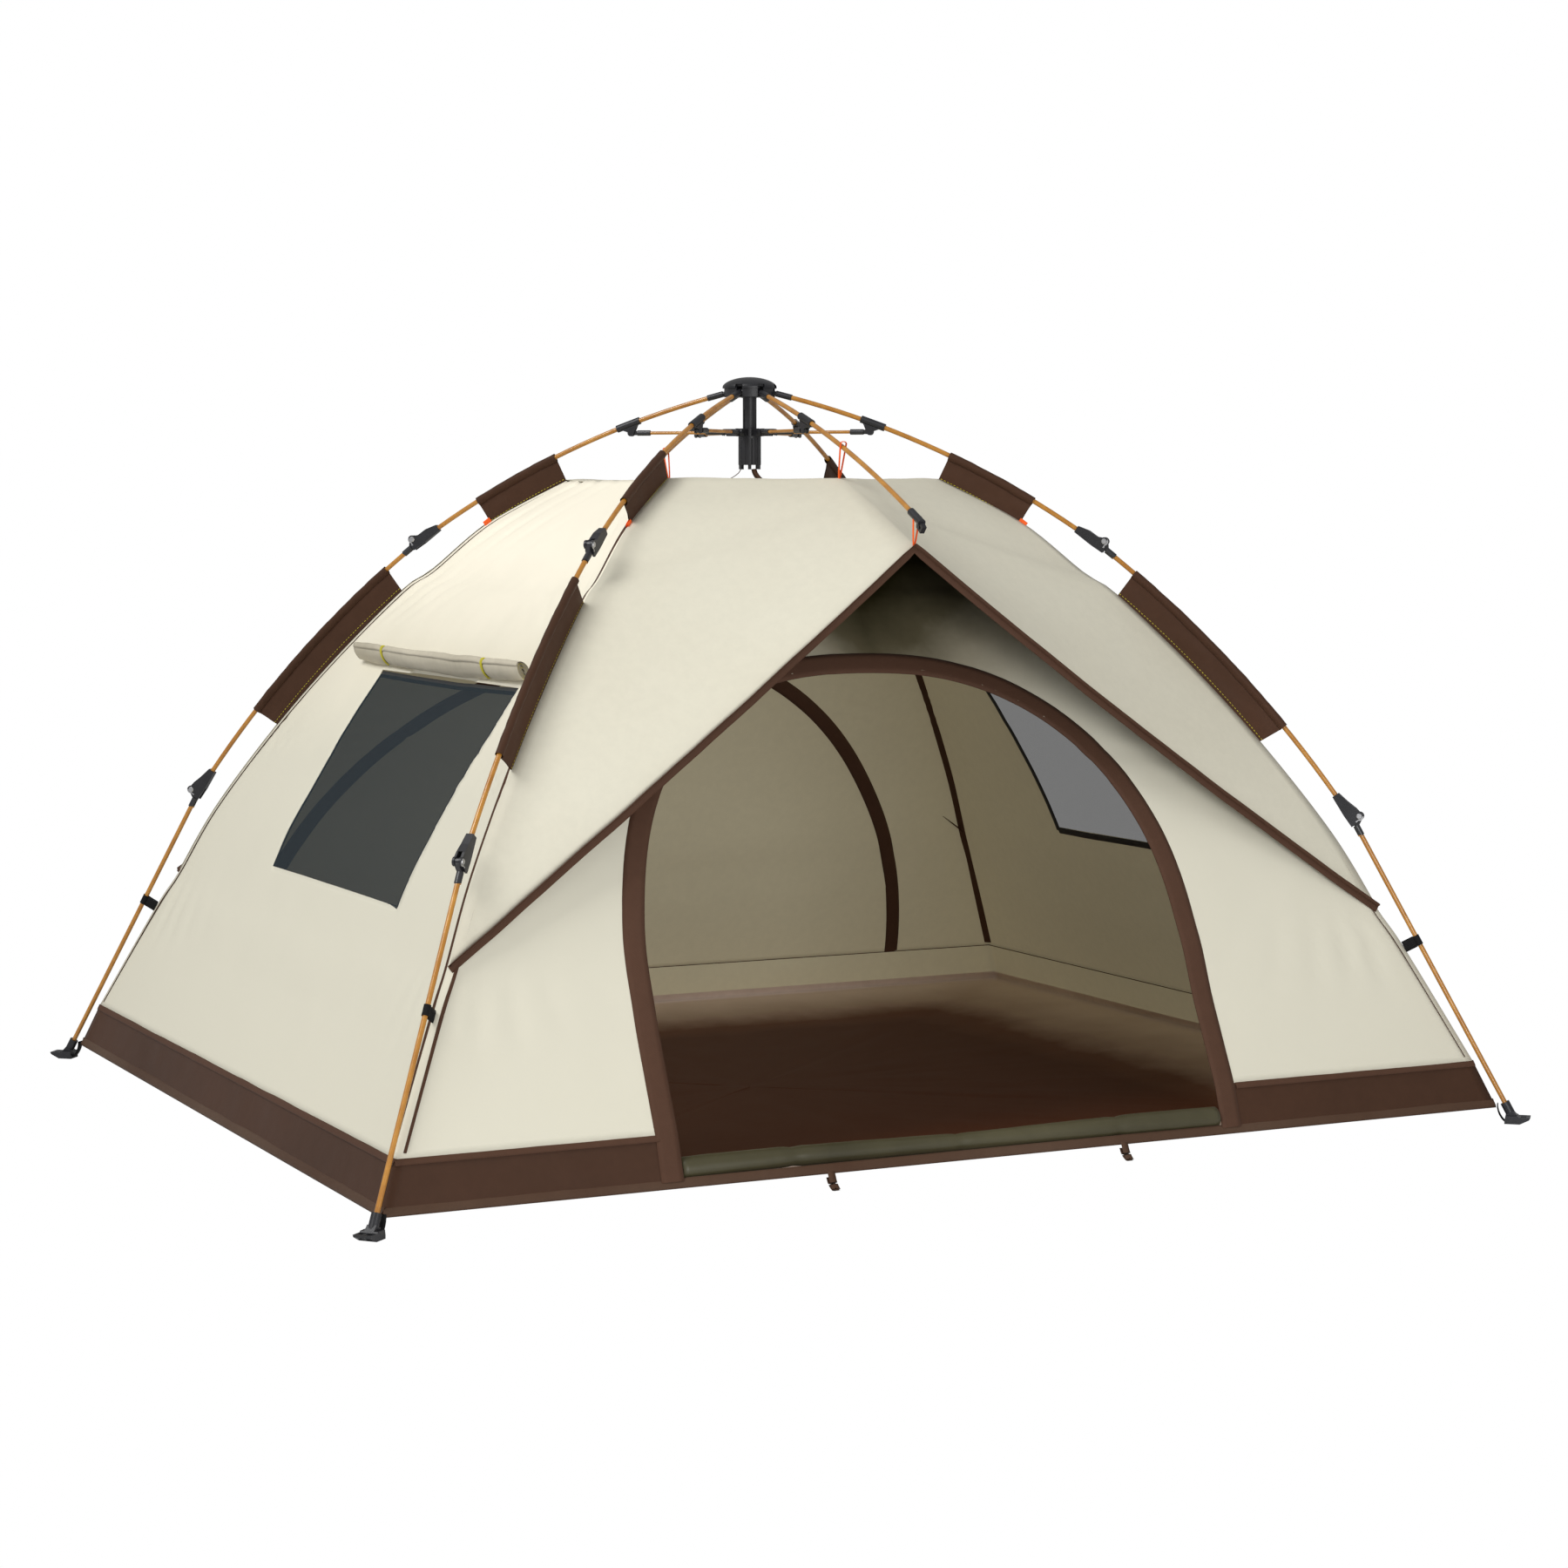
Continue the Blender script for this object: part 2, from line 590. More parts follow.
# a strip of tape that lies on a line of points
def tapeMesh(path, normals, width, rise=0.0012, material=0, steps=4, bm=None, thick=0.0008):
    bm = bm or bmesh.new()
    rows = []
    count = len(path)
    for i, (point, normal) in enumerate(zip(path, normals)):
        forward = (path[min(i + 1, count - 1)] - path[max(i - 1, 0)]).normalized()
        side = forward.cross(normal).normalized()
        profile = []
        for k in range(steps + 1):
            u = -1 + 2 * k / steps
            lift = rise + thick * (1 - u ** 4)
            profile.append(point + side * (u * width / 2) + normal * lift)
        under = point - normal * 0.0004
        profile += [under + side * (width / 2), under - side * (width / 2)]
        rows.append(profile)
    lengths = arcLengths([tuple(p) for p in path])
    gridMesh(rows, lambda a, b: (b * width / 5, lengths[a]), material=material, bm=bm, closeU=True)
    return bm


def wallSurface(side, across, z):
    # the canopy's outside at a height and a distance from a side's middle, and its outward normal
    i = min(range(len(ridgeFine)), key=lambda k: abs(ridgeFine[k][1] - z))
    j = i - 1 if ridgeFine[i][1] < z else i
    j = min(max(j, 0), len(ridgeFine) - 2)
    t = (ridgeFine[j][1] - z) / (ridgeFine[j][1] - ridgeFine[j + 1][1])

    def at(row):
        r = ridgeFine[row][0]
        half = r * (cosA if side in ("front", "back") else sinA)
        return wallPoint(side, row, max(-1, min(1, across / half)))
    point = at(j).lerp(at(j + 1), t)
    slope = (at(j + 1) - at(j)).normalized()
    level = {"front": (1, 0, 0), "right": (0, 1, 0), "back": (-1, 0, 0), "left": (0, -1, 0)}[side]
    return point, Vector(level).cross(-slope).normalized()


def archPath(grow, start, steps=60):
    a, h = canopy["doorHalf"] + grow, canopy["doorTop"] - canopy["doorSpring"] + grow
    points = []
    for k in range(12):
        points.append((a, start + (canopy["doorSpring"] - start) * k / 12))
    for k in range(steps + 1):
        t = math.pi / 2 * k / steps
        x, up = (part(t) ** (2 / canopy["power"]) for part in (math.cos, math.sin))
        points.append((a * x, canopy["doorSpring"] + h * up))
    shift = canopy["doorShift"]
    return [(shift + x, z) for x, z in points] + [(shift - x, z) for x, z in points[-2::-1]]


doorBinding = {"width": 0.038, "sill": 0.036}


def frontSurface(x, z):
    # the front's outside with the band below the canopy
    if z >= ridge[-1][1] + 0.004:
        return wallSurface("front", x, z)
    t = (ridge[-1][1] - z) / (ridge[-1][1] - hemPoint[1])
    r = ridge[-1][0] + (hemPoint[0] - ridge[-1][0]) * t
    point = Vector((x, -r * sinA, z))
    return point, Vector((0, -0.90, 0.44))


def bindingAround():
    line = archPath(doorBinding["width"] / 2 - 0.004, doorBinding["sill"])
    points, normals = [], []
    for x, z in line:
        point, normal = frontSurface(x, z)
        points.append(point)
        normals.append(normal)
    return tapeMesh(points, normals, doorBinding["width"])


doorTape = finishMesh("doorTape", bindingAround(), [bindingCloth])


# a thin line of stitches beside a path
def stitchMesh(path, normals, gap=0.0026, length=0.0026, size=0.0005, rise=0.0022, material=0, bm=None):
    bm = bm or bmesh.new()
    layer = bm.loops.layers.uv.get("cloth") or bm.loops.layers.uv.new("cloth")
    lengths = arcLengths([tuple(p) for p in path])
    place = gap
    while place < lengths[-1] - length:
        i = max(k for k in range(len(lengths)) if lengths[k] <= place)
        i = min(i, len(path) - 2)
        t = (place - lengths[i]) / max(lengths[i + 1] - lengths[i], 1e-6)
        point = path[i].lerp(path[i + 1], t)
        forward = (path[i + 1] - path[i]).normalized()
        normal = normals[i]
        side = forward.cross(normal).normalized()
        a = point + normal * rise
        ring = []
        for along, up in ((0, 0), (length / 2, size), (length, 0)):
            for w in (-size, size):
                ring.append(bm.verts.new(a + forward * along + side * w + normal * up))
        for k in (0, 2):
            face = bm.faces.new((ring[k], ring[k + 1], ring[k + 3], ring[k + 2]))
            face.material_index = material
        place += gap + length
    return bm


# tub: the brown band outside, the floor and the paler inside
tubPlan = {"top": 0.106, "columns": 100, "flat": 0.70, "rows": 12}
bandTop = ridge[-1]


def tubPoint(side, u, t, inner):
    # t runs from 0 at the band's top to 1 at the hem and to 2 at the middle of the floor
    skin = 0.0046 if inner else 0.0
    if t <= 1:
        r = bandTop[0] + (hemPoint[0] - bandTop[0]) * t - skin
        z = bandTop[1] + (hemPoint[1] - bandTop[1]) * t + (0.0026 * t if inner else 0)
    else:
        flatR = hemPoint[0] * tubPlan["flat"]
        k = (t - 1)
        r = (hemPoint[0] - skin) * (1 - k) + flatR * k if k <= 1 else flatR * (2 - k)
        z = hemPoint[1] * (1 - k) if k <= 1 else 0.0
        z += 0.0026 if inner else 0
    front = side in ("front", "back")
    half, depth = (r * cosA, r * sinA) if front else (r * sinA, r * cosA)
    edge = 1 - abs(u)
    seed = {"front": 21.0, "right": 24.0, "back": 27.0, "left": 31.0}[side] + (50 if inner else 0)
    place = Vector((u * half, depth, z))
    rough = wrinkle(place, 6.0, 0.004 if inner else 0.0022, seed) * min(1.0, edge * 9)
    if t <= 1:
        fade = min(1.0, 4 * t + 0.05) * min(1.0, 4 * (1 - t) + 0.05)
        depth += -abs(rough) * fade * (1.3 if inner else 1)
    else:
        z += abs(rough) * (0.6 if inner else 0.0)
    turn = sideAngles[side]
    return Matrix.Rotation(math.radians(turn), 3, "Z") @ Vector((u * half, -depth, z))


def buildTub(inner):
    bm = bmesh.new()
    columns = tubPlan["columns"]
    for side in ("front", "right", "back", "left"):
        us = [-1 + 2 * k / columns for k in range(columns + 1)]
        steps = [k / 10 for k in range(11)]
        rows = [[tubPoint(side, u, t, inner) for u in us] for t in steps]
        if inner:
            rows = [row[::-1] for row in rows]
        gridMesh(rows[:9] if inner else rows, lambda a, b: (b * 0.02, a * 0.01),
                 material=2 if inner else 0, bm=bm)
        if inner:
            gridMesh(rows[8:], lambda a, b: (b * 0.02, a * 0.01), bm=bm)
        steps = [1 + k / 14 for k in range(15)] + [2 + k / 14 * 0.999 for k in range(1, 15)]
        rows = [[tubPoint(side, u, t, inner) for u in us] for t in steps]
        if inner:
            rows = [row[::-1] for row in rows]
        gridMesh(rows, lambda a, b: (b * 0.02, a * 0.02), material=1, bm=bm)
    bmesh.ops.remove_doubles(bm, verts=bm.verts, dist=0.0004)
    shift, half = canopy["doorShift"], canopy["doorHalf"]
    gone = []
    for face in bm.faces:
        c = face.calc_center_median()
        if c.y < -0.8 and abs(c.x - shift) < half and c.z > doorBinding["sill"]:
            gone.append(face)
    bmesh.ops.delete(bm, geom=gone, context="FACES")
    for vert in bm.verts:
        if vert.is_boundary and vert.co.y < -0.8 and vert.co.z < 0.108 \
                and abs(abs(vert.co.x - shift) - half) < 0.016:
            vert.co.x = shift + math.copysign(half, vert.co.x - shift)
    turnFaces(bm, (0, 0, 0.3), -1 if inner else 1)
    return bm


tubOutside = finishMesh("tubOutside", buildTub(False), [brownCloth, floorCloth])
tubInside = finishMesh("tubInside", buildTub(True), [brownInside, floorCloth, creamInside])
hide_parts("tub")
print("tub made")


# hem strip and the band's top binding all round, left open at the doorway
def bandLine(z, lean):
    t = (bandTop[1] - z) / (bandTop[1] - hemPoint[1])
    return bandTop[0] + (hemPoint[0] - bandTop[0]) * t + lean


def ringTape(name, z, width, material, skip=0.0, rise=0.0006):
    bm = bmesh.new()
    for side in ("front", "right", "back", "left"):
        t = min(max((bandTop[1] - z) / (bandTop[1] - hemPoint[1]), 0), 1)
        us = [-1 + 2 * k / 60 for k in range(61)]
        half = bandLine(z, 0) * (cosA if side in ("front", "back") else sinA)
        spans = [us]
        if side == "front" and skip:
            shift = canopy["doorShift"]
            spans = [[u for u in us if u * half < shift - skip], [u for u in us if u * half > shift + skip]]
        for span in spans:
            path = [tubPoint(side, u, t, False) for u in span]
            level = Matrix.Rotation(math.radians(sideAngles[side]), 3, "Z") @ Vector((0, -0.87, 0.5))
            tapeMesh(path, [level.normalized()] * len(path), width, rise=rise, bm=bm)
    return finishMesh(name, bm, [material])


hemCloth = clothMaterial("hemCloth", rgb("#5A4638"), rgb("#4C3527"), threads=1400)
hemTape = ringTape("hemTape", 0.034, 0.016, hemCloth)
bandTape = ringTape("bandTape", 0.102, 0.012, bindingCloth, skip=0.52)


# roof and awnings: one sheet over the top, creased down the middle
fly = {"reach": 0.3566, "peak": 0.627, "drop": 0.113, "rows": 46, "half": 26, "end": 8, "sag": 0.010}
awningRidge = [(r, z) for r, z in ridge[:fly["end"]]]
awningFine = smoothLine(awningRidge, fly["rows"])


def flyPoint(i, u, way):
    r, z = awningFine[i]
    s = i / fly["rows"]
    k = abs(u)
    edge = Vector((r * cosA, -(r * sinA) - 0.001, z + 0.0024))
    crease = Vector((0, -fly["reach"] - (fly["peak"] - fly["reach"]) * s, roofZ + 0.0024 - fly["drop"] * s))
    point = crease.lerp(edge, k)
    span = (edge - crease).length
    hang = fly["sag"] * 4 * k * (1 - k) * min(1.0, 0.25 + s * 1.3)
    point.z -= hang * span
    point.y += hang * span * 0.8
    loose = wrinkle(point, 4.0, 0.0035, 61.0) + wrinkle(point, 12.0, 0.0010, 63.0)
    pull = 0.0022 * math.sin(46 * math.atan2(point.z - crease.z, 0.05 + k * span)) \
        * math.exp(-((1 - k) * span) / 0.10)
    point += Vector((0, 0.6, 0.8)) * (loose + pull) * min(1.0, 8 * k * (1 - k))
    return Vector((point.x * (1 if u >= 0 else -1), point.y * way, point.z))


def buildFly():
    bm = bmesh.new()
    us = [k / fly["half"] for k in range(-fly["half"], fly["half"] + 1)]
    for way in (1, -1):
        rows = [[flyPoint(i, u, way) for u in us] for i in range(fly["rows"] + 1)]
        if way < 0:
            rows = [row[::-1] for row in rows]
        gridMesh(rows, lambda a, b: (b * 0.02, a * 0.02), bm=bm)
    front = [flyPoint(0, u, 1) for u in us]
    back = [flyPoint(0, u, -1) for u in us]
    count = 24
    rows = []
    for k in range(count + 1):
        t = k / count
        row = []
        for a, b in zip(back, front):
            p = a.lerp(b, t)
            p.z -= 0.006 * 4 * t * (1 - t) - wrinkle(p, 5.0, 0.002, 70.0) * 4 * t * (1 - t)
            row.append(p)
        rows.append(row)
    gridMesh(rows, lambda a, b: (b * 0.02, a * 0.02), bm=bm)
    bmesh.ops.remove_doubles(bm, verts=bm.verts, dist=0.0003)
    turnFaces(bm, (0, 0, -2.0))
    return bm


flySheet = finishMesh("flySheet", buildFly(), [creamCloth, awningUnder], thickness=0.0008, inside=True)
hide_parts("roof", "awning_front", "awning_back")
print("fly made")


def flyBindings():
    bm = bmesh.new()
    last = fly["rows"]
    us = [k / 60 for k in range(-60, 61)]
    for way in (1, -1):
        path = [flyPoint(last, u, way) for u in us]
        normals = [Vector((0, 0.35 * way, 0.9)).normalized()] * len(path)
        tapeMesh(path, normals, 0.020, rise=0.0004, bm=bm)
        under = [p - Vector((0, 0, 0.0014)) for p in path]
        tapeMesh(under, [-n for n in normals], 0.020, rise=0.0004, bm=bm)
        lip = [p - Vector((0, 0.0016 * way, 0.0056)) for p in path]
        tapeMesh(lip, [Vector((0, -way, 0.1)).normalized()] * len(path), 0.013, rise=0.0, bm=bm)
    return bm


awningTape = finishMesh("awningTape", flyBindings(), [bindingCloth])


# side windows: mesh set in the wall, with tape round it and a rolled flap above
window = {"tape": 0.014, "columns": 40, "rows": 24, "rollDrop": 0.020, "rollRadius": 0.0165,
          "past": (0.037, 0.110)}


def buildWindow(side):
    bm = bmesh.new()
    low, high = canopy["windowLow"], canopy["windowHigh"]
    front, back = canopy["windowFront"], canopy["windowBack"]
    spread = (front, back) if side == "right" else (-back, -front)
    rows = []
    for i in range(window["rows"] + 1):
        z = high + (low - high) * i / window["rows"]
        row = []
        for j in range(window["columns"] + 1):
            y = spread[0] + (spread[1] - spread[0]) * j / window["columns"]
            point, normal = wallSurface(side, y, z)
            row.append(point - normal * 0.0004)
        rows.append(row)
    gridMesh(rows, lambda a, b: (b * 0.017, a * 0.017), bm=bm)
    return bm


def windowBorder(side):
    bm = bmesh.new()
    low, high = canopy["windowLow"], canopy["windowHigh"]
    spread = (canopy["windowFront"], canopy["windowBack"])
    if side == "left":
        spread = (-spread[1], -spread[0])
    corners = [(spread[0], high), (spread[1], high), (spread[1], low), (spread[0], low)]
    for k in range(4):
        (y0, z0), (y1, z1) = corners[k], corners[(k + 1) % 4]
        points, normals = [], []
        for t in range(21):
            point, normal = wallSurface(side, y0 + (y1 - y0) * t / 20, z0 + (z1 - z0) * t / 20)
            points.append(point - normal * 0.0014)
            normals.append(-normal)
        tapeMesh(points, normals, window["tape"], rise=0.0002, bm=bm, thick=0.0006)
    return bm


def spiralRoll(centre, out, up, radius, turns, core, count, lumps, uvStep):
    # a sheet wound round itself: centre, out and radius are functions of the place along it
    bm = bmesh.new()
    segments = 26
    rows = []
    for i in range(count + 1):
        t = i / count
        row = []
        for k in range(segments * turns + 1):
            a = 2 * math.pi * k / segments
            share = core + (1 - core) * (1 - k / (segments * turns))
            lump = 1 + lumps(t, a % (2 * math.pi))
            row.append(centre(t) + (out(t) * math.cos(a) + up * math.sin(a)) * radius(t) * share * lump)
        rows.append(row)
    gridMesh(rows, lambda a, b: (b * 0.0025, a * uvStep), bm=bm)
    return bm


def buildRoll(side):
    z = canopy["windowHigh"] + window["rollDrop"] + 0.002
    spread = (canopy["windowFront"] - window["past"][0], canopy["windowBack"] + window["past"][1])
    if side == "left":
        spread = (-spread[1], -spread[0])
    count = 90
    frames = [wallSurface(side, spread[0] + (spread[1] - spread[0]) * i / count, z) for i in range(count + 1)]

    def centre(t):
        point, normal = frames[round(t * count)]
        return point + normal * (window["rollRadius"] + 0.0035)

    def radius(t):
        pinch = sum(math.exp(-((t - k) / 0.014) ** 2) for k in (0.17, 0.78))
        return window["rollRadius"] * (1 - 0.22 * pinch) * min(1.0, 0.85 + 2 * min(t, 1 - t))

    def lumps(t, a):
        return 0.06 * math.sin(2 * a + 9 * t) * math.sin(a / 2) \
            + wrinkle(Vector((t * 3, math.cos(a), math.sin(a))), 2.0, 0.06, 5.0)
    return spiralRoll(centre, lambda t: frames[round(t * count)][1], Vector((0, 0, 1)), radius,
                      7, 0.16, count, lumps, 0.008)


def rollExtras(side):
    # the flap's piping along the roll and its two toggle loops
    bm = bmesh.new()
    z = canopy["windowHigh"] + window["rollDrop"] + 0.002
    spread = (canopy["windowFront"] - window["past"][0], canopy["windowBack"] + window["past"][1])
    if side == "left":
        spread = (-spread[1], -spread[0])
    for t, way in ((0.004, -1), (0.996, 1)):
        point, normal = wallSurface(side, spread[0] + (spread[1] - spread[0]) * t, z)
        centre = point + normal * (window["rollRadius"] + 0.0035)
        loop, out = [], []
        for k in range(33):
            a = 2 * math.pi * 1.6 * k / 32
            grow = 0.35 + 0.6 * k / 32
            direction = normal * math.sin(a) + Vector((0, 0, 1)) * math.cos(a)
            loop.append(centre + direction * window["rollRadius"] * grow * 0.8)
            out.append(direction)
        tapeMesh(loop, out, 0.006, rise=0.0, bm=bm, thick=0.0012)
    for t in (0.17, 0.78):
        point, normal = wallSurface(side, spread[0] + (spread[1] - spread[0]) * t, z)
        centre = point + normal * (window["rollRadius"] + 0.0035)
        loop, out = [], []
        for k in range(25):
            a = math.pi * 1.15 * k / 24 - 0.25
            way = normal * math.sin(a) + Vector((0, 0, 1)) * math.cos(a)
            loop.append(centre + way * window["rollRadius"] * 0.88)
            out.append(way)
        tapeMesh(loop, out, 0.010, rise=0.0006, bm=bm, thick=0.001)
    return bm


for side in ("left", "right"):
    pane = finishMesh("windowMesh_" + side, buildWindow(side), [meshGrey])
    border = finishMesh("windowBorder_" + side, windowBorder(side), [borderCloth])
    roll = finishMesh("flapRoll_" + side, buildRoll(side), [flapCloth], thickness=0.0005)
    extras = finishMesh("flapPiping_" + side, rollExtras(side), [yellowCloth])
    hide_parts("window_" + side)
print("windows made")


# pole sleeves: gathered tubes round the ribs and middle poles, sewn to the ridges by a web
bows = {
    "rib": {"centre": (-0.35656, -0.39385), "radius": 1.71495, "start": 14.7, "turn": 19.2},
    "mid": {"centre": (-0.66694, -0.68009), "radius": 2.13082, "start": 38.8, "turn": 15.4},
    "short": {"centre": (-0.61932, -1.39545), "radius": 2.75045, "start": 14.7, "turn": 12.0},
}


def bowPoint(kind, s, gap=0.0):
    bow = bows[kind]
    a = math.radians(bow["start"] + bow["turn"] * s)
    r = bow["radius"] - gap
    return (bow["centre"][0] + r * math.sin(a), bow["centre"][1] + r * math.cos(a))


sleeve = {"radius": 0.0068, "upper": (0.54, 0.84), "lower": (0.08, 0.74), "web": 0.0009}


def ridgeNear(point):
    # the ridge point closest to a point in a leg's plane
    return min(ridgeFine, key=lambda p: math.dist(p, point))


def buildSleeves():
    bm = bmesh.new()
    for key, azimuth in legs.items():
        for kind, span, count in (("rib", sleeve["upper"], 44), ("mid", sleeve["lower"], 100)):
            rows = []
            for i in range(count + 1):
                s = span[0] + (span[1] - span[0]) * i / count
                r, z = bowPoint(kind, s)
                up = Vector(bowPoint(kind, s, -0.01)) - Vector((r, z))
                up = legPoint(azimuth, up.x, up.y).normalized()
                side = legPoint(azimuth, 0, 0, 1.0).normalized()
                centre = legPoint(azimuth, r, z)
                row = []
                for k in range(20):
                    a = 2 * math.pi * k / 20
                    gather = 1 + 0.10 * noise.noise(Vector((i * 0.22, a, azimuth)))
                    droop = 1 + 0.35 * max(0.0, -math.cos(a)) ** 3
                    offset = up * math.cos(a) * droop + side * math.sin(a)
                    row.append(centre + offset * sleeve["radius"] * gather)
                rows.append(row)
            gridMesh(rows, lambda a, b: (b * 0.003, a * 0.006), bm=bm, closeU=True)
            web = []
            for i in range(count + 1):
                s = span[0] + (span[1] - span[0]) * i / count
                top = bowPoint(kind, s, sleeve["radius"] * 0.9)
                foot = ridgeNear(bowPoint(kind, s, 0.048))
                a = legPoint(azimuth, *top)
                b = legPoint(azimuth, *foot) + Vector((0, 0, 0.001))
                side = legPoint(azimuth, 0, 0, 1.0).normalized()
                row = []
                for k in range(9):
                    t = k / 8
                    wave = 0.003 * noise.noise(Vector((i * 0.07, t * 1.5, azimuth * 0.1))) \
                        * math.sin(math.pi * t)
                    row.append(a.lerp(b, t) + side * (wave + sleeve["web"]))
                for k in range(8, -1, -1):
                    t = k / 8
                    row.append(row[k] - side * sleeve["web"] * 2)
                web.append(row)
            gridMesh(web, lambda a, b: (b * 0.006, a * 0.006), bm=bm, closeU=True)
    return bm


sleeves = finishMesh("poleSleeves", buildSleeves(), [brownCloth])
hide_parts("pole_sleeves")


def sleeveStitches():
    bm = bmesh.new()
    for key, azimuth in legs.items():
        for kind, span, count in (("rib", sleeve["upper"], 30), ("mid", sleeve["lower"], 70)):
            for way in (-1, 1):
                path, normals = [], []
                side = legPoint(azimuth, 0, 0, 1.0).normalized() * way
                for i in range(count + 1):
                    s = span[0] + (span[1] - span[0]) * i / count
                    r, z = bowPoint(kind, s, 0.044)
                    path.append(legPoint(azimuth, r, z) + side * 0.0012)
                    normals.append(side)
                stitchMesh(path, normals, gap=0.003, length=0.0035, size=0.0004, rise=0.0006, bm=bm)
    return bm


finishMesh("sleeveStitches", sleeveStitches(), [yellowCloth])
print("sleeves made")


# rolled door along the sill
doorRoll = {"from": -0.529, "to": 0.453, "radius": 0.0180, "y": -0.850, "z": 0.0510}


def buildDoorRoll():
    def centre(t):
        x = doorRoll["from"] + (doorRoll["to"] - doorRoll["from"]) * t
        return Vector((x, doorRoll["y"] + 0.004 * math.sin(5 * t), doorRoll["z"] + 0.0015 * math.sin(9 * t)))

    def radius(t):
        pinch = sum(math.exp(-((t - k) / 0.010) ** 2) for k in (0.2, 0.5, 0.8))
        return doorRoll["radius"] * (1 - 0.12 * pinch) * (0.95 + 0.05 * math.sin(7 * t + 1))

    def lumps(t, a):
        return 0.05 * math.sin(2 * a + 6 * t) * math.sin(a / 2) \
            + wrinkle(Vector((t * 5, math.cos(a), math.sin(a))), 2.0, 0.05, 9.0)
    return spiralRoll(centre, lambda t: Vector((0, 1, 0)), Vector((0, 0, 1)), radius,
                      12, 0.16, 96, lumps, 0.0105)


rolledDoor = finishMesh("rolledDoor", buildDoorRoll(), [oliveCloth], thickness=0.0005)
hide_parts("door_roll")


# orange loops that hold the short ribs over the roof's edge and the awning's peak
def buildLoops():
    bm = bmesh.new()
    for azimuth in (-90.0, 90.0):
        spots = (
            ((0.3720, bowPoint("short", 0.52)[1]), (0.3560, roofZ + 0.001)),
            ((0.6350, 1.0460), (0.6270, 1.0050)),
        )
        for (r0, z0), (r1, z1) in spots:
            for way in (-1, 1):
                path, normals = [], []
                for k in range(17):
                    t = k / 16
                    r = r0 + (r1 - r0) * t
                    z = z0 + 0.004 + (z1 - z0 - 0.004) * t
                    path.append(legPoint(azimuth, r, z, way * 0.0050 * (1 - t) ** 0.7 + way * 0.0006))
                    normals.append(legPoint(azimuth, 0, 0, way).normalized())
                tapeMesh(path, normals, 0.005, rise=0.0, bm=bm, thick=0.0010)
            turns = [math.pi * k / 8 for k in range(9)]
            top = [legPoint(azimuth, r0, z0 + 0.004 + 0.0030 * math.sin(a), 0.0056 * math.cos(a))
                   for a in turns]
            tapeMesh(top, [Vector((0, 0, 1))] * 9, 0.005, rise=0.0, bm=bm, thick=0.0010)
    for key, azimuth in legs.items():
        r, z = bowPoint("rib", sleeve["upper"][1] + 0.004, 0.0445)
        for way in (-1, 1):
            path = [legPoint(azimuth, r - 0.004 + 0.012 * k / 6, z + 0.006 - 0.009 * k / 6, way * 0.0016)
                    for k in range(7)]
            tapeMesh(path, [legPoint(azimuth, 0, 0, way).normalized()] * 7, 0.009, rise=0.0, bm=bm,
                     thick=0.0008)
    return bm


loops = finishMesh("orangeLoops", buildLoops(), [orangeCloth])


# straps from the lower poles to the canopy ridge, and the webbing of each foot
def buildStrap(azimuth):
    bm = bmesh.new()
    pole, wall = (1.2068, 0.3152), (1.1831, 0.3022)
    along = Vector((math.cos(math.radians(61.2)), 0, -math.sin(math.radians(61.2))))
    upward = Vector((math.sin(math.radians(61.2)), 0, math.cos(math.radians(61.2))))
    rows = []
    for k in range(15):
        t = -0.5 + k / 14
        row = []
        for j in range(26):
            a = 2 * math.pi * j / 26
            radius = 0.0058
            offset = upward * (math.cos(a) * radius)
            side = math.sin(a) * radius
            point = Vector((pole[0], 0, pole[1])) + along * (t * 0.018) + offset
            row.append(legPoint(azimuth, point.x, point.z, side))
        rows.append(row)
    gridMesh(rows, lambda a, b: (b * 0.0014, a * 0.0013), bm=bm, closeU=True)
    for way in (-1, 1):
        path, normals = [], []
        for k in range(9):
            t = k / 8
            start = Vector((pole[0], 0, pole[1])) - upward * 0.0052
            end = Vector((wall[0], 0, wall[1])) + upward * 0.0002
            point = start.lerp(end, t)
            path.append(legPoint(azimuth, point.x, point.z, way * (0.0014 - 0.0006 * t)))
            normals.append(legPoint(azimuth, 0, 0, way).normalized())
        tapeMesh(path, normals, 0.020, rise=0.0, bm=bm, thick=0.0007)
    return bm


def buildFootWeb(azimuth):
    bm = bmesh.new()
    line = [(1.3478, 0.0330), (1.3480, 0.0270), (1.3500, 0.0190),
            (1.3540, 0.0110), (1.3590, 0.0048), (1.3640, 0.0022)]
    fine = smoothLine(line, 20)
    path = [legPoint(azimuth, r, z) for r, z in fine]
    normals = []
    for k in range(len(fine)):
        a, b = fine[max(k - 1, 0)], fine[min(k + 1, len(fine) - 1)]
        normals.append(legPoint(azimuth, -(b[1] - a[1]), b[0] - a[0]).normalized())
    tapeMesh(path, normals, 0.018, rise=0.0004, bm=bm, thick=0.0011)
    return bm


for key, azimuth in legs.items():
    strap = finishMesh("poleStrap_" + key, buildStrap(azimuth), [webCloth], body="lower_" + key)
    web = finishMesh("footWeb_" + key, buildFootWeb(azimuth), [webCloth], body="lower_" + key)
    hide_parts("strap_" + key)
print("straps made")

# stake loops on the front and back hems
stakeLoop = {"places": (-0.280, 0.260), "width": 0.013, "reach": 0.020}


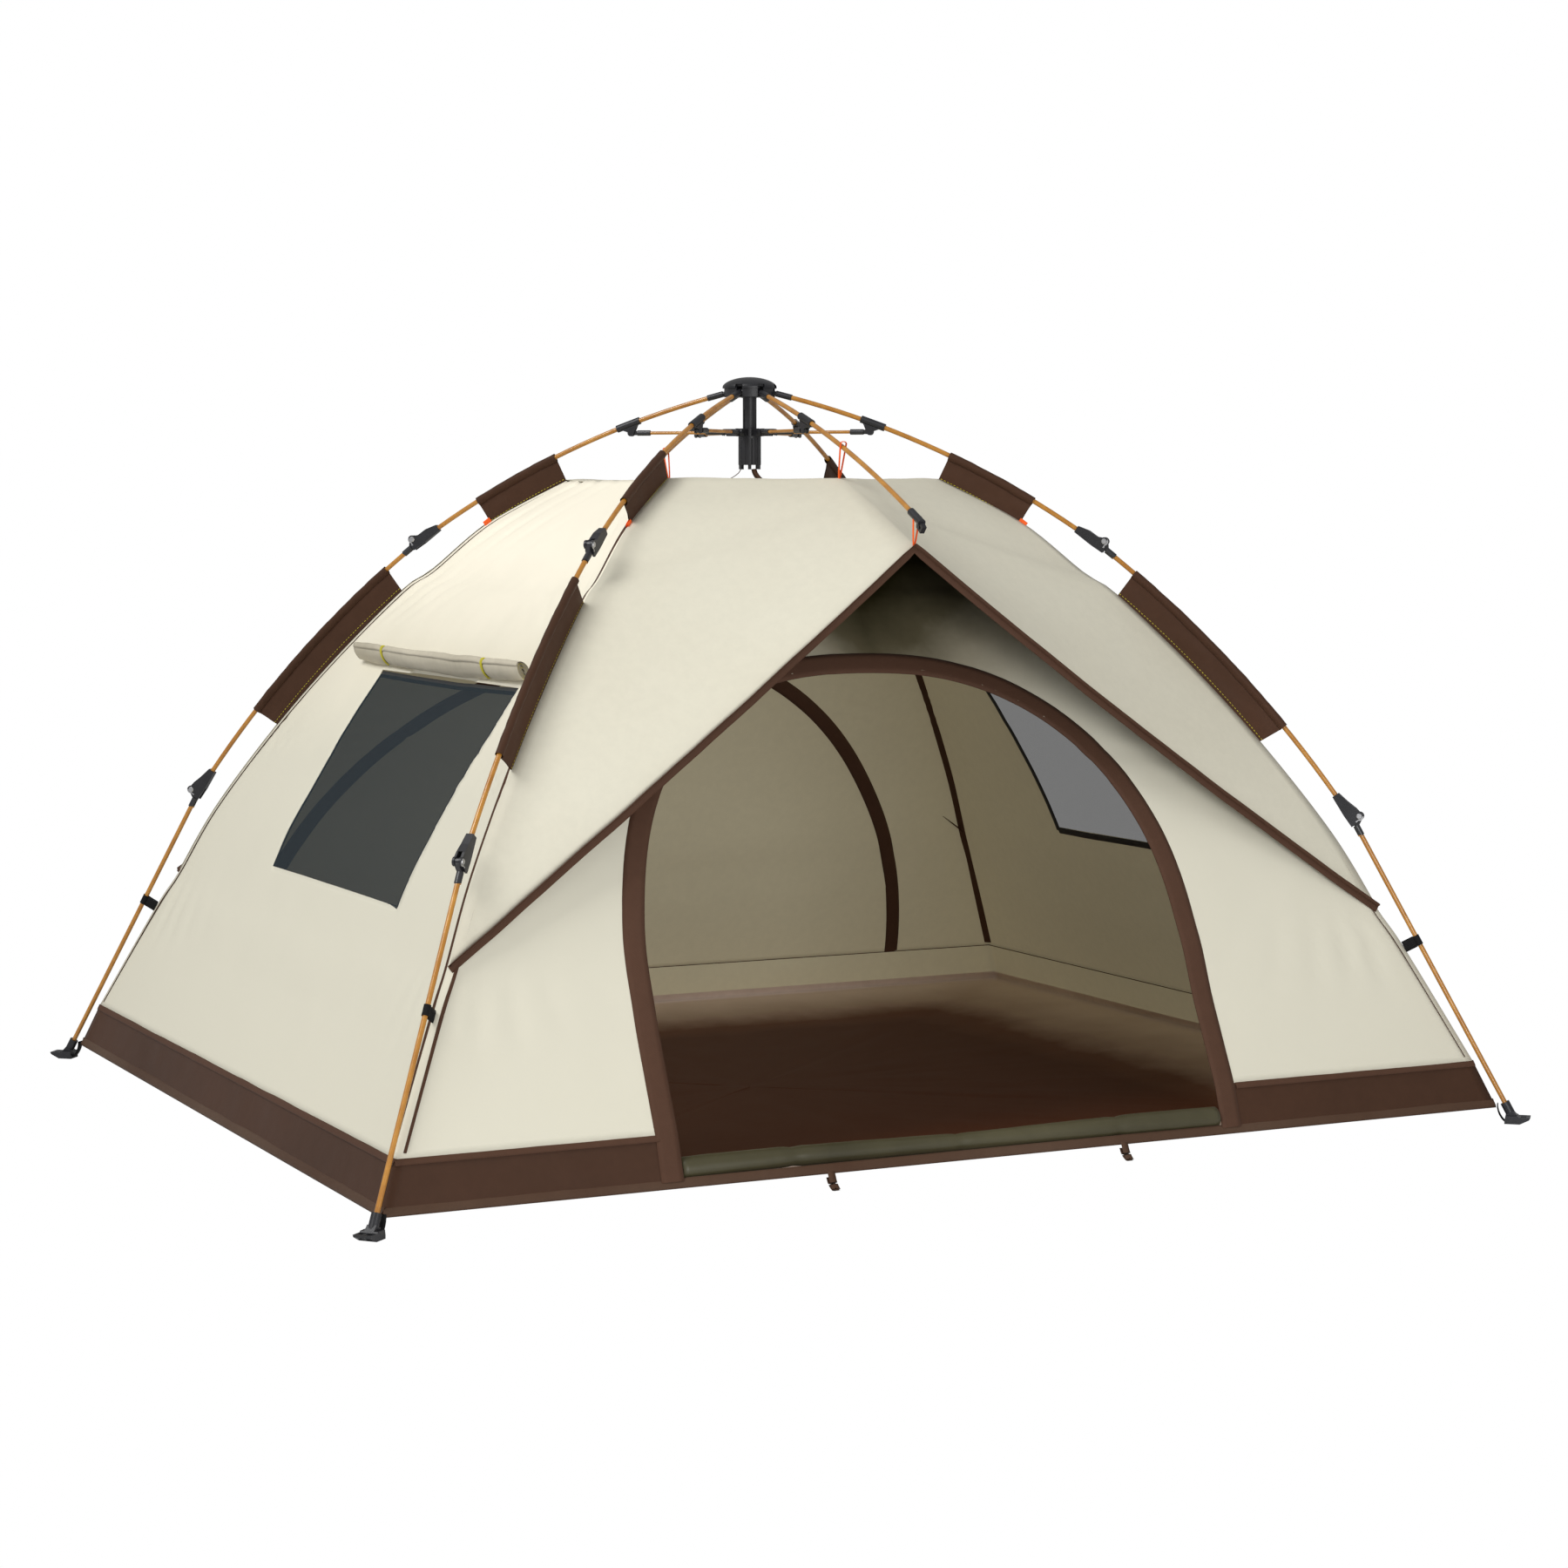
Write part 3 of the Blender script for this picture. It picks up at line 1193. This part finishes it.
def buildStakeLoops():
    bm = bmesh.new()
    for x in stakeLoop["places"]:
        for way in (1, -1):
            y = (hemPoint[0] * sinA) - 0.003
            line = [(y, 0.034), (y + 0.006, 0.027), (y + 0.012, 0.016), (y + stakeLoop["reach"], 0.008),
                    (y + stakeLoop["reach"] + 0.005, 0.005), (y + stakeLoop["reach"] + 0.001, 0.003),
                    (y + 0.008, 0.010), (y + 0.001, 0.020)]
            fine = smoothLine(line, 26)
            path = [Vector((x, -a * way, b)) for a, b in fine]
            normals = []
            for k in range(len(fine)):
                p, q = fine[max(k - 1, 0)], fine[min(k + 1, len(fine) - 1)]
                normals.append(Vector((0, (p[1] - q[1]) * way, q[0] - p[0])).normalized())
            tapeMesh(path, normals, stakeLoop["width"], rise=0.0, bm=bm, thick=0.0009)
    return bm


stakeLoops = finishMesh("stakeLoops", buildStakeLoops(), [hemCloth])
print("stake loops made")

# ties from the runner to the roof keep their shape
paint("roof_ties", bindingCloth)
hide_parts("roof_ties")


def buildTies():
    bm = bmesh.new()
    for azimuth in (40.0, 160.0, 280.0):
        path = [legPoint(azimuth, r, z) for r, z in smoothLine(
            [(0.0160, 1.1365), (0.0200, 1.1300), (0.0290, 1.1230), (0.0400, 1.1175)], 14)]
        tapeMesh(path, [legPoint(azimuth, 0.6, 0.8).normalized()] * len(path), 0.008, rise=0.0, bm=bm)
    return bm


finishMesh("roofTies", buildTies(), [bindingCloth])


# seams inside along the corners, and the tape of the closed rear door on both faces
def insideSeams():
    bm = bmesh.new()
    for key, azimuth in legs.items():
        path, normals = [], []
        for r, z in ridgeFine[4:-1]:
            path.append(legPoint(azimuth, r - 0.0062, z - 0.003))
            normals.append(legPoint(azimuth, -0.8, -0.6).normalized())
        tapeMesh(path, normals, 0.024, rise=0.0, bm=bm)
    return bm


rearDoor = {"half": 0.750, "top": 0.800, "width": 0.030}


def rearTape():
    bm = bmesh.new()
    start = math.asin(0.108 / rearDoor["top"])
    for inner in (False, True):
        points, normals = [], []
        for k in range(121):
            t = start + (math.pi - 2 * start) * k / 120
            point, normal = wallSurface("back", rearDoor["half"] * math.cos(t), rearDoor["top"] * math.sin(t))
            points.append(point - normal * 0.0014 if inner else point)
            normals.append(-normal if inner else normal)
        tapeMesh(points, normals, rearDoor["width"], rise=0.0004, bm=bm)
    return bm


cornerTape = finishMesh("cornerTape", insideSeams(), [bindingCloth])
rearDoorTape = finishMesh("rearDoorTape", rearTape(), [bindingCloth])
print("inside made")

# studio: white floor and backdrop, and soft light
world = bpy.data.worlds.new("studio")
scene.world = world
world.use_nodes = True
worldTree = world.node_tree
background = worldTree.nodes["Background"]
background.inputs["Color"].default_value = (1, 1, 1, 1)
background.inputs["Strength"].default_value = 0.42
plainWhite = addNode(worldTree, "ShaderNodeBackground", {"Color": (1, 1, 1, 1), "Strength": 1.0})
worldPath = addNode(worldTree, "ShaderNodeLightPath")
worldMix = addNode(worldTree, "ShaderNodeMixShader")
seenSky = mathNode(worldTree, "MAXIMUM", worldPath.outputs["Is Camera Ray"],
                   worldPath.outputs["Is Transmission Ray"])
worldTree.links.new(seenSky, worldMix.inputs[0])
worldTree.links.new(background.outputs[0], worldMix.inputs[1])
worldTree.links.new(plainWhite.outputs[0], worldMix.inputs[2])
worldTree.links.new(worldMix.outputs[0], worldTree.nodes["World Output"].inputs[0])

floorMesh = bpy.data.meshes.new("studioFloor")
bm = bmesh.new()
bmesh.ops.create_grid(bm, x_segments=1, y_segments=1, size=30)
bm.to_mesh(floorMesh)
bm.free()
studioFloor = bpy.data.objects.new("studioFloor", floorMesh)
scene.collection.objects.link(studioFloor)
studioFloor.location = (0, 0, -0.001)
floorPaint, floorTree, floorShader = newMaterial("studioFloor")
lightPath = addNode(floorTree, "ShaderNodeLightPath")
white = addNode(floorTree, "ShaderNodeEmission", {"Color": (1, 1, 1, 1), "Strength": 1.0})
blendShader = addNode(floorTree, "ShaderNodeMixShader")
seen = mathNode(floorTree, "MAXIMUM", lightPath.outputs["Is Camera Ray"],
                lightPath.outputs["Is Transmission Ray"])
floorShader.inputs["Base Color"].default_value = (0.8, 0.8, 0.8, 1)
floorTree.links.new(seen, blendShader.inputs[0])
floorTree.links.new(floorShader.outputs[0], blendShader.inputs[1])
floorTree.links.new(white.outputs[0], blendShader.inputs[2])
output = [n for n in floorTree.nodes if n.type == "OUTPUT_MATERIAL"][0]
floorTree.links.new(blendShader.outputs[0], output.inputs[0])
floorMesh.materials.append(floorPaint)


def areaLight(name, place, target, size, power):
    data = bpy.data.lights.new(name, "AREA")
    data.size = size
    data.energy = power
    lamp = bpy.data.objects.new(name, data)
    scene.collection.objects.link(lamp)
    lamp.location = place
    lamp.rotation_euler = (Vector(target) - Vector(place)).to_track_quat("-Z", "Y").to_euler()


areaLight("keyLight", (-4.2, -1.0, 5.2), (0, 0, 0.5), 2.5, 215)
areaLight("fillLight", (-0.4, -4.4, 0.8), (0, 0, 0.45), 1.6, 52)
scene.view_settings.view_transform = "Standard"
print("studio made")
